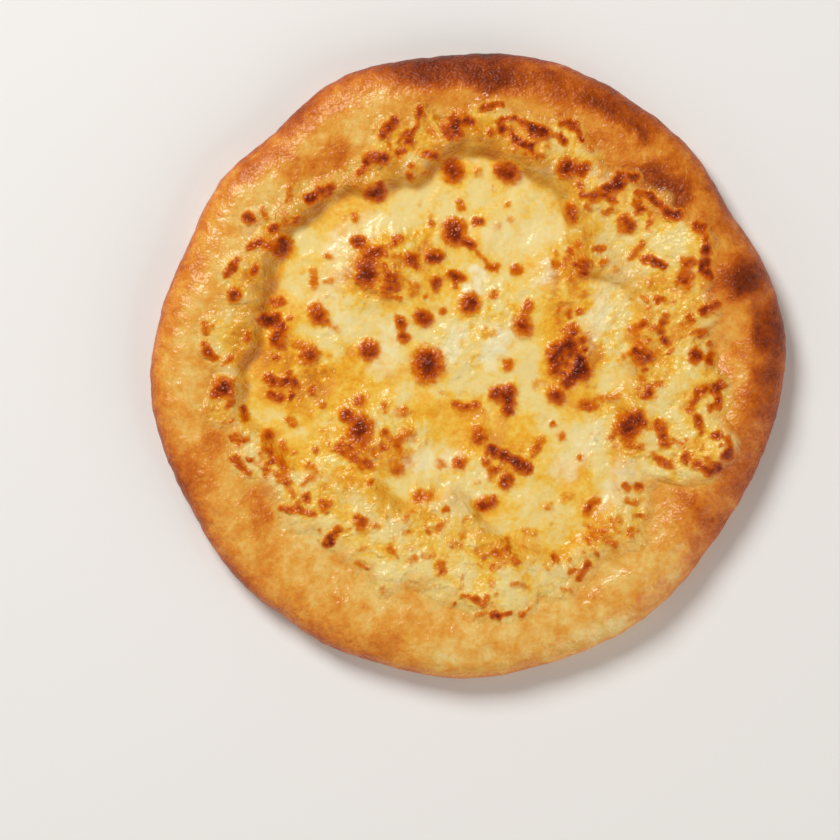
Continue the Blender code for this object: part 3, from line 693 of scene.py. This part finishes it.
def speck(draw, x, y, depth):
    """One small toasted speck: a short line with a random slant, size and browning."""
    slant = draw.uniform(0.0, math.pi)
    run = draw.uniform(0.0, 1.3)
    size = draw.uniform(0.5, 1.5)
    return (x, y, run * math.cos(slant), run * math.sin(slant), size, depth * draw.uniform(0.55, 1.15))


def strewn_specks():
    """The small specks: crowded in the toasted zones, and scattered over the ring."""
    draw = np.random.default_rng(SPECK_SEED)
    specks = []
    for x, y, run_x, run_y, radius, depth in TOASTED_ZONES:
        area = math.pi * radius**2 + 4.0 * radius * math.hypot(run_x, run_y)
        for number in range(round(ZONE_SPECKS * area)):
            along = draw.uniform(-1.0, 1.0)
            away = radius * math.sqrt(draw.uniform())
            turn = draw.uniform(0.0, 2.0 * math.pi)
            place = (x + along * run_x + away * math.cos(turn), y + along * run_y + away * math.sin(turn))
            specks.append(speck(draw, *place, 1.15 * depth))
    for number in range(RING_SPECKS + POOL_SPECKS):
        angle = np.array([draw.uniform(-180.0, 180.0)])
        on_ring = number < RING_SPECKS
        inner = basin_edge(angle)[0] if on_ring else 0.0
        outer = cheese_edge(angle)[0] - 3.0 if on_ring else basin_edge(angle)[0]
        away = inner + (outer - inner) * draw.uniform() ** (1.0 if on_ring else 0.5)
        depth = draw.uniform(0.2, 0.6) if on_ring else draw.uniform(0.1, 0.35)
        specks.append(speck(draw, *from_polar(angle[0], away), depth))
    return specks


def blistered(x, y, marks):
    """Browning by scorched spots: nearly even over each one, falling off in a soft orange rim."""
    left = np.ones_like(x)
    plumpness = MEAN_PLUMPNESS + waves(x, y, SPOT_PLUMPNESS)
    for *line, mean_radius, depth in marks:
        away = distance(x, y, *line)
        radius = mean_radius * (plumpness if mean_radius < DOME_LEAST else 1.0)
        halo = HALO_LEAST + HALO_SHARE * radius
        share = smooth((radius + halo - away) / (HALO_SLOPE * radius + halo)) ** HALO_FULLNESS
        core = smooth((radius - away) / CORE_REACH)
        left *= 1.0 - depth * (RIM_OF_SCORCH * share + CORE_OF_SCORCH * core)
    return 1.0 - left


def pushed_edge(angle, edge):
    """The cheese's edge, drawn out round the scorched spots that lie on it."""
    pushed = edge.copy()
    for x, y, run_x, run_y, size, depth in SCORCHES:
        spot_angle, spot_radius = polar(np.array([x]), np.array([y]))
        reach = math.hypot(run_x, run_y) + size + EDGE_ROUND_SPOTS
        if spot_radius[0] + reach > cheese_edge(spot_angle)[0]:
            away = np.radians((angle - spot_angle + 180.0) % 360.0 - 180.0) * spot_radius
            pushed = np.maximum(pushed, spot_radius + reach - 0.6 * away**2 / reach)
    return pushed


def cheese_thickness(angle, radius):
    """Thick in the pools, thin on the ring and at its edge."""
    thickness = SHELF_THICKNESS + (POOL_THICKNESS - SHELF_THICKNESS) * basin_share(angle, radius)
    taper = 1.0 - smooth((pushed_edge(angle, cheese_edge(angle)) - radius) / EDGE_TAPER)
    return thickness - (thickness - EDGE_THICKNESS) * taper


bpy.ops.object.select_all(action="DESELECT")
bpy.ops.mesh.primitive_grid_add(
    x_subdivisions=CELLS, y_subdivisions=CELLS, size=2.0 * MM, location=(0.0, 0.0, LAYERS * MM))
cheese = bpy.context.object
cheese.name = cheese.data.name = "melted_cheese_sheet"
bpy.ops.object.transform_apply(location=True)

# The square sheet is pressed round, so that its border has as many points as the bread has spokes.
flat_x, flat_y, flat_z = points_of(cheese)
wide = np.abs(flat_x) >= np.abs(flat_y)
reach = np.where(wide, flat_x, flat_y)
slant = np.where(wide, flat_y, flat_x) / np.where(reach == 0.0, 1.0, reach) * math.pi / 4.0
round_x = reach * np.where(wide, np.cos(slant), np.sin(slant))
round_y = reach * np.where(wide, np.sin(slant), np.cos(slant))
set_points(cheese, round_x, round_y, flat_z)

# Its border is drawn down in steps of 1 mm, which tell the layers apart further on, then closed under
# it in rings that shrink to the middle.
bpy.ops.object.mode_set(mode="EDIT")
bpy.ops.mesh.select_mode(type="EDGE")
bpy.ops.mesh.select_all(action="DESELECT")
bpy.ops.mesh.select_non_manifold()
for step in range(LAYERS):
    bpy.ops.mesh.extrude_edges_move(TRANSFORM_OT_translate={"value": (0.0, 0.0, -1.0 * MM)})
for share, next_share in zip(SEAT_STEPS, SEAT_STEPS[1:]):
    bpy.ops.mesh.extrude_edges_move(TRANSFORM_OT_translate={"value": (0.0, 0.0, 0.0)})
    shrink = next_share / share
    bpy.ops.transform.resize(value=(shrink, shrink, 1.0), center_override=(0.0, 0.0, 0.0))
bpy.ops.mesh.extrude_edges_move(TRANSFORM_OT_translate={"value": (0.0, 0.0, 0.0)})
bpy.ops.mesh.merge(type="CENTER")
bpy.ops.mesh.select_all(action="SELECT")
bpy.ops.mesh.normals_make_consistent(inside=False)
bpy.ops.object.mode_set(mode="OBJECT")
cheese.data.shade_smooth()

# The plain sheet is laid on the bread and given its real edge, thickness and relief.
blank_x, blank_y, blank_z = points_of(cheese)
layer = np.round(LAYERS - blank_z)
angle, share = polar(blank_x, blank_y)
edge = cheese_edge(angle)
edge_radius = pushed_edge(angle, edge + waves(*from_polar(angle, 1.0), EDGE_RAGGEDNESS))
seat = edge - CHEESE_LAP
top = layer == 0
under = layer == LAYERS
hidden = under & (share < HIDDEN_SHARE)
radius = np.where(hidden, share / SEAT_STEPS[1] * seat, share * (edge_radius - TOP_INSET * top))
radius += SIDE_BULGE * ~(top | under)
x, y = from_polar(angle, radius)

mark_x, mark_y = uneven(x, y, 0.8, 43.0, 3.6)
ragged = 1.03 + waves(x, y, SPOT_RAGGEDNESS)
scorch = blistered(mark_x, mark_y, SCORCHES)
specks = blistered(mark_x, mark_y, strewn_specks())
glow = browned(*uneven(x, y, 3.0, 45.0), SCORCHES, 6.0)
in_basin = basin_share(angle, radius)
pool = in_basin * (1.0 - browned(*uneven(x, y, 4.0, 81.0), LUMPY_PLACES, 7.0))
zone = browned(*uneven(x, y, 3.0, 47.0), TOASTED_ZONES, 7.0)
toast = np.clip((1.0 - (1.0 - scorch) * (1.0 - specks) * (1.0 - 0.1 * zone)) * ragged, 0.0, 1.0)

# How far into the step round the sunken middle each point lies, and the painted shade along that step: a
# warm golden brown, strongest where the step faces away from the key lamp.
from_step = basin_edge(angle) - radius
step_strength = lobed(angle, STEP_STRENGTH, STEP_STRENGTH_LOBES)
into_pool = from_step - 0.5 + waves(x, y, STEP_RAGGEDNESS)
step_shade_width = np.where(into_pool > 0.0, STEP_SHADE_INTO_POOL, STEP_SHADE_UP_STEP)
step_shade = 0.8 * step_strength * np.exp(-((into_pool / step_shade_width) ** 2))
step_shade *= 1.0 + waves(x, y, STEP_SHADE_BREAKS)

# The tint of the cheese that hasn't toasted, 0 for cream and 1 for gold. It also carries the painted shade
# along the step and in the hollow on the right.
clouds = waves(x, y, CLOUDS)
gold = browned(*uneven(x, y, 4.0, 75.0), GOLDEN_ZONES, 9.0)
ridges = 1.0 - 2.0 * np.abs(waves(x, y, CURD_RIDGES))
curds = 0.5 * ridges + waves(x, y, CURD_LUMPS)
creamy = (1.0 - 0.6 * gold) * (1.0 - 0.6 * zone) * (1.0 - 0.42 * glow)
creamy *= (0.78 + 0.22 * in_basin) * (1.0 - 0.7 * step_shade)
stain_and_painted_shade = 1.0 - creamy + (in_basin - pool) * (0.06 + waves(x, y, LUMP_TINTS))
stain_and_painted_shade += 0.3 * clouds - (0.32 * curds + 0.18 * (1.0 - in_basin)) * (1.0 - pool)
# Whiter patches: partly fresh cheese, partly a painted highlight.
milk_and_sheen = browned(*uneven(x, y, 4.0, 79.0, 4.0), MILK_AND_SHEEN_PATCHES, 3.0) * (1.0 + waves(x, y, MILK_AND_SHEEN_FLECKS))
inwards = edge_radius - radius
thin = 1.0 - smooth((inwards - 1.5 + waves(x, y, THIN_RAGGEDNESS)) / 12.0)

# The relief: blisters over the widest spots, the lip of the step, curds, swells and a pebbled skin.
domes = np.zeros_like(x)
for at_x, at_y, reach_x, reach_y, reach, depth in SCORCHES:
    if reach >= DOME_LEAST:
        away = distance(mark_x, mark_y, at_x, at_y, reach_x, reach_y)
        domes = np.maximum(domes, DOME_HEIGHT * smooth(1.0 - away / (1.3 * reach + 1.5)))

seated = bread_top(x, y)
height = seated + cheese_thickness(angle, radius) + domes + waves(x, y, CHEESE_WAVES)
height += 0.9 * step_strength * np.exp(-(((from_step + 6.0) / 3.0) ** 2))
height -= 0.4 * step_strength * np.exp(-(((from_step - 1.5) / 1.8) ** 2))
full = smooth(inwards / 7.0)
height += full * (curds * (1.0 - 0.7 * pool) + waves(x, y, POOL_SWELLS) * pool)
height += full * smooth(toast / 0.5) * (0.35 + waves(x, y, TOASTED_SKIN))
height += dimples(x, y, 0.0) * smooth(1.0 - inwards / 9.0) - SUNKEN_EDGE * (1.0 - smooth(inwards / 3.5))

underside = seated - seat_drop(seat, radius) + SEAT_GAP
lay(cheese, x, y, np.where(hidden, underside, height - LAYER_STEP * layer))

paint(cheese, "browning", browning_of_crust(x, y))
paint(cheese, "toast", toast)
paint(cheese, "stain_and_painted_shade", np.clip(stain_and_painted_shade, 0.0, 1.0))
paint(cheese, "step_shade", np.clip(step_shade, 0.0, 1.0))
paint(cheese, "milk_and_sheen", np.clip(milk_and_sheen + 0.2 * clouds, 0.0, 1.0))
paint(cheese, "pool", pool)
paint(cheese, "thin", thin)


def browned_cheese():
    """Melted fresh cheese: pale cream to yellow, a little see-through, with a film of fat that shines.
    Where it has toasted it goes golden, orange and dark red-brown, and its skin is pebbled with bubbles."""
    material, tree, place = new_material("browned_cheese")
    toast, stain_and_painted_shade, step_shade, milk_and_sheen, thin, pool, browning = (
        add(tree, "Attribute", attribute_name=name).outputs["Fac"]
        for name in ("toast", "stain_and_painted_shade", "step_shade", "milk_and_sheen", "thin", "pool", "browning")
    )
    freckles, crust = crust_colour(tree, place, browning)

    cloud_size = 11.0     # millimetres between the creamier and the yellower parts
    grain_size = 1.9      # and between the pebbles of the toasted skin
    clouds = pattern(tree, place, cloud_size, 5.0, Roughness=0.6, Distortion=0.6)
    grain = pattern(tree, place, grain_size, 3.0, Roughness=0.6)
    cloudy = times_plus(tree, clouds, 1.5, stain_and_painted_shade)
    fatty = times_plus(tree, grain, 0.75, cloudy)
    yellow = add(tree, "Math", {0: fatty, 1: 1.1}, operation="SUBTRACT")
    pale = add(tree, "ValToRGB", {"Fac": yellow}, stops=[
        (0.0, "f7de92"), (1.0, "dc8614"), (0.18, "fad678"), (0.36, "fbca50"), (0.56, "f8b633"),
        (0.78, "ed9d20")])
    # Whiter patches: partly fresh cheese, partly a painted highlight.
    milky_and_sheen = mixed(tree, milk_and_sheen, pale, colour("fff0c0"))
    # Painted shade, a warm golden brown, along the step round the sunken middle.
    shaded_at_step = mixed(tree, step_shade, milky_and_sheen, colour("c4741a"))
    fresh = mixed(tree, thin, shaded_at_step, crust)
    broken = times_plus(tree, grain, 0.3, toast)
    level = add(tree, "Math", {0: broken, 1: 0.15}, operation="SUBTRACT")
    toasted = add(tree, "ValToRGB", {"Fac": level}, stops=[
        (0.04, "f2b83c"), (1.0, "541401"), (0.14, "eca024"), (0.27, "e4860e"), (0.4, "d86c03"),
        (0.5, "c75701"), (0.58, "b34701"), (0.66, "9d3901"), (0.78, "812a01")])
    on_crust = times_plus(tree, thin, -0.08, level)
    share = add(tree, "MapRange", {
        "Value": on_crust, "From Min": 0.0, "From Max": 0.33}, interpolation_type="SMOOTHSTEP")
    base = mixed(tree, share, fresh, toasted)

    pebble_size = 1.4     # millimetres between the bubbles of the toasted skin
    lump_size = 4.0       # between the softened shreds of cheese
    swell_size = 11.0     # and between the slow swells of the pool
    pebbles = pattern(tree, place, pebble_size, 0.5)
    lumps = pattern(tree, place, lump_size, 0.5, Distortion=0.8)
    swells = pattern(tree, place, swell_size, 1.0, Distortion=0.6)
    curdled = span(tree, pool, 0.0, 1.0, 1.0, 0.25)
    warmth = times_plus(tree, stain_and_painted_shade, 0.4, toast)
    uneven_skin = times_plus(tree, curdled, 0.45, warmth)
    roughened = span(tree, uneven_skin, 0.2, 0.9, 0.12, 1.0)
    bubbles = add(tree, "Math", {0: pebbles, 1: roughened}, operation="MULTIPLY")
    fine = add(tree, "Bump", {"Height": bubbles, "Distance": 0.95 * MM})
    shreds = add(tree, "Math", {0: lumps, 1: curdled}, operation="MULTIPLY")
    lumpy = add(tree, "Bump", {"Height": shreds, "Distance": 1.0 * MM, "Normal": fine})
    bumpy = add(tree, "Bump", {"Height": swells, "Strength": 0.45, "Distance": 2.0 * MM, "Normal": lumpy})
    rough = span(tree, grain, 0.3, 0.7, 0.13, 0.28)
    gloss = span(tree, toast, 0.2, 0.7, 0.5, 0.3)
    surface = add(tree, "BsdfPrincipled", {
        "Base Color": base, "Roughness": rough, "Normal": bumpy,
        "IOR": 1.38, "Specular IOR Level": gloss, "Subsurface Weight": 0.25,
        "Subsurface Scale": 2.0 * MM, "Subsurface Radius": (1.0, 0.6, 0.2),
    })
    add(tree, "OutputMaterial", {"Surface": surface})
    return material


cheese.data.materials.append(browned_cheese())
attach(cheese, "root")
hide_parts("melted_cheese")

# --------------------------------------
# The stage: a plain pale floor of matt paper, a large soft lamp at the upper left with two weaker ones
# that fill the shadows, and a camera that looks straight down.
# --------------------------------------

bpy.ops.object.select_all(action="DESELECT")
bpy.ops.mesh.primitive_plane_add(size=6.0, location=(0.0, 0.0, 0.0))
floor = bpy.context.object
floor.name = "pale_floor"
bpy.ops.object.transform_apply(location=True)

# Matt paper: nearly white, and rough enough to throw back no highlight.
paper = bpy.data.materials.new("matt_paper")
paper.use_nodes = True
paper.node_tree.nodes["Principled BSDF"].inputs["Base Color"].default_value = colour("f4f3f1")
paper.node_tree.nodes["Principled BSDF"].inputs["Roughness"].default_value = 0.9
floor.data.materials.append(paper)

world = bpy.data.worlds.new("soft_studio")
world.use_nodes = True
world.node_tree.nodes["Background"].inputs["Color"].default_value = colour("fff0de")
world.node_tree.nodes["Background"].inputs["Strength"].default_value = 0.2
bpy.context.scene.world = world

# Lamps: (bearing and height in degrees, distance and size in metres, watts). The first is the key, and
# the wider, weaker ones fill the shadows from the lower right and the lower left.
LAMPS = [(126.0, 47.0, 2.4, 1.0, 43.0), (320.0, 25.0, 2.4, 2.4, 24.0), (225.0, 25.0, 2.4, 2.4, 8.0)]
for bearing, climb, away, size, watts in LAMPS:
    level_away, lamp_height = from_polar(climb, away)
    bpy.ops.object.light_add(type="AREA", location=(*from_polar(bearing, level_away), lamp_height))
    lamp = bpy.context.object
    lamp.data.shape = "DISK"
    lamp.data.size = size
    lamp.data.energy = watts
    lamp.rotation_euler = (math.radians(90.0 - climb), 0.0, math.radians(bearing + 90.0))

VIEW_WIDTH = 0.371        # metres across, at the height of the bread's widest point
VIEW_MIDDLE = (-0.0212, -0.0238)
LENS = 200.0              # long, so that what stands up hardly leans outwards
SENSOR = 36.0
bpy.ops.object.camera_add(location=(*VIEW_MIDDLE, WAIST_HEIGHT * MM + VIEW_WIDTH * LENS / SENSOR))
camera = bpy.context.object
camera.data.lens = LENS
camera.data.sensor_width = SENSOR
camera.rotation_euler = (0.0, 0.0, 0.0)
bpy.context.scene.camera = camera
bpy.context.scene.view_settings.view_transform = "Standard"
